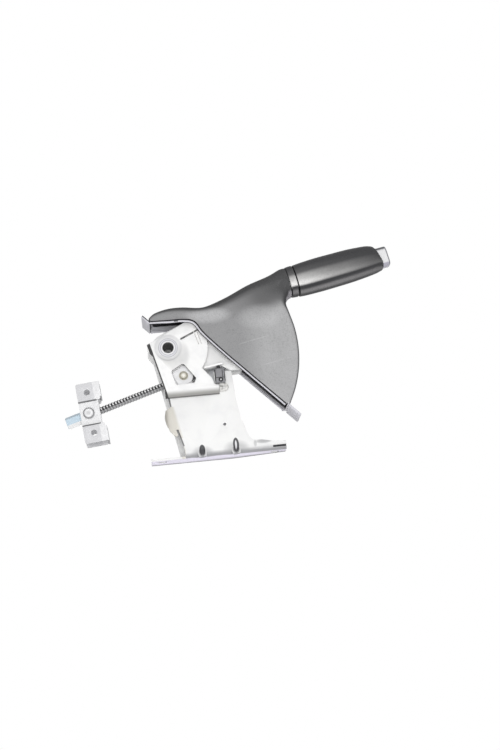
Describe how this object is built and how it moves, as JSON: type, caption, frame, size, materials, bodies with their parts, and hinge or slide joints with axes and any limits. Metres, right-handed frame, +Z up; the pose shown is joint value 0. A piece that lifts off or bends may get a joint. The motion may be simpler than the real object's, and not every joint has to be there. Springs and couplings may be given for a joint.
{
  "type": "parking brake lever",
  "caption": "Pull-up parking brake lever with moulded shroud and grip, end release button, pressed steel bracket with ratchet and warning switch, pull rod and cable equaliser",
  "frame": {"origin": "On the mounting face of the base, straight below the lever pivot, in the lever's centre plane", "axes": "+X forward along the base towards the grip, +Z up from the mounting face, -Y towards the near side with the warning switch"},
  "size_m": [0.3772, 0.046, 0.2237],
  "materials": {
    "steel_pressing": "bright zinc plate",
    "zinc_steel": "satin zinc plate",
    "bright_plate": "bright plate",
    "blue_zinc": "blue zinc plate",
    "black_rod": "dark phosphated thread",
    "shroud_plastic": "fine moulded grain",
    "grip_soft": "soft satin moulding",
    "switch_plastic": "moulded",
    "plunger_black": "smooth",
    "nylon": "natural nylon",
    "bush_bronze": "sintered",
    "clip_plate": "dull plate"
  },
  "bodies": {
    "bracket": {"mounting_bracket": "steel_pressing", "near_side_plate": "steel_pressing", "far_side_plate": "steel_pressing", "ratchet_plate": "zinc_steel", "pivot_tube": "bright_plate", "pivot_spacers": "switch_plastic", "switch_body": "switch_plastic", "switch_clip": "clip_plate"},
    "switch_plunger": {"switch_plunger": "plunger_black"},
    "lever": {"near_lever_cheek": "steel_pressing", "far_lever_cheek": "steel_pressing", "lever_hub": "zinc_steel", "pivot_bush": "bush_bronze", "cheek_spacers": "zinc_steel", "clevis_pin": "bright_plate", "keeper_plate": "bright_plate", "pawl_pin": "zinc_steel", "lever_tube": "zinc_steel", "rod_guide": "nylon", "spring_seat": "nylon", "release_spring": "bright_plate", "shroud": "shroud_plastic", "grip_collar": "grip_soft", "grip": "grip_soft"},
    "pawl": {"pawl": "zinc_steel"},
    "button": {"release_button": "bright_plate", "release_rod": "zinc_steel"},
    "pull_rod": {"rod_eye": "zinc_steel", "pull_rod": "black_rod"},
    "trunnion": {"trunnion": "bright_plate"},
    "equaliser": {"equaliser": "steel_pressing"},
    "nut": {"adjusting_nut": "blue_zinc"}
  },
  "joints": [
    {"name": "lever_lift", "type": "hinge", "parent": "bracket", "child": "lever", "pos_m": [0, 0, 0.121], "axis": [0, -1, 0], "range_deg": [0, 36]},
    {"name": "button_press", "type": "slide", "parent": "lever", "child": "button", "axis": [-0.9836, 0, -0.1805], "range_m": [0, 0.008], "stiffness_N_per_m": 400, "springref_m": -0.006, "deforming": ["release_spring"]},
    {"name": "pawl_turn", "type": "hinge", "parent": "lever", "child": "pawl", "pos_m": [0.088, 0, 0.143], "axis": [0, -1, 0], "range_deg": [0, 14]},
    {"name": "rod_swing", "type": "hinge", "parent": "lever", "child": "pull_rod", "pos_m": [0.01397, 0, 0.09033], "axis": [0, -1, 0], "range_deg": [-36.1, 0.1]},
    {"name": "adjuster_travel", "type": "slide", "parent": "pull_rod", "child": "trunnion", "axis": [0.9578, 0, 0.2874], "range_m": [0, 0.012]},
    {"name": "nut_turn", "type": "hinge", "parent": "trunnion", "child": "nut", "pos_m": [-0.09091, 0, 0.05887], "axis": [0.9578, 0, 0.2874], "range_deg": [0, 1272]},
    {"name": "equaliser_rock", "type": "hinge", "parent": "trunnion", "child": "equaliser", "pos_m": [-0.09091, 0, 0.05887], "axis": [0, -1, 0], "range_deg": [-15, 15]},
    {"name": "plunger_rise", "type": "slide", "parent": "bracket", "child": "switch_plunger", "axis": [0, 0, 1], "range_m": [0, 0.0031]}
  ],
  "couplings": [
    {"joint": "pawl_turn", "follows": "button_press", "rad_per_m": 30},
    {"joint": "rod_swing", "follows": "lever_lift", "ratio": -1},
    {"joint": "nut_turn", "follows": "adjuster_travel", "rad_per_m": 1848},
    {"joint": "plunger_rise", "follows": "lever_lift", "m_per_rad": 0.004775}
  ]
}
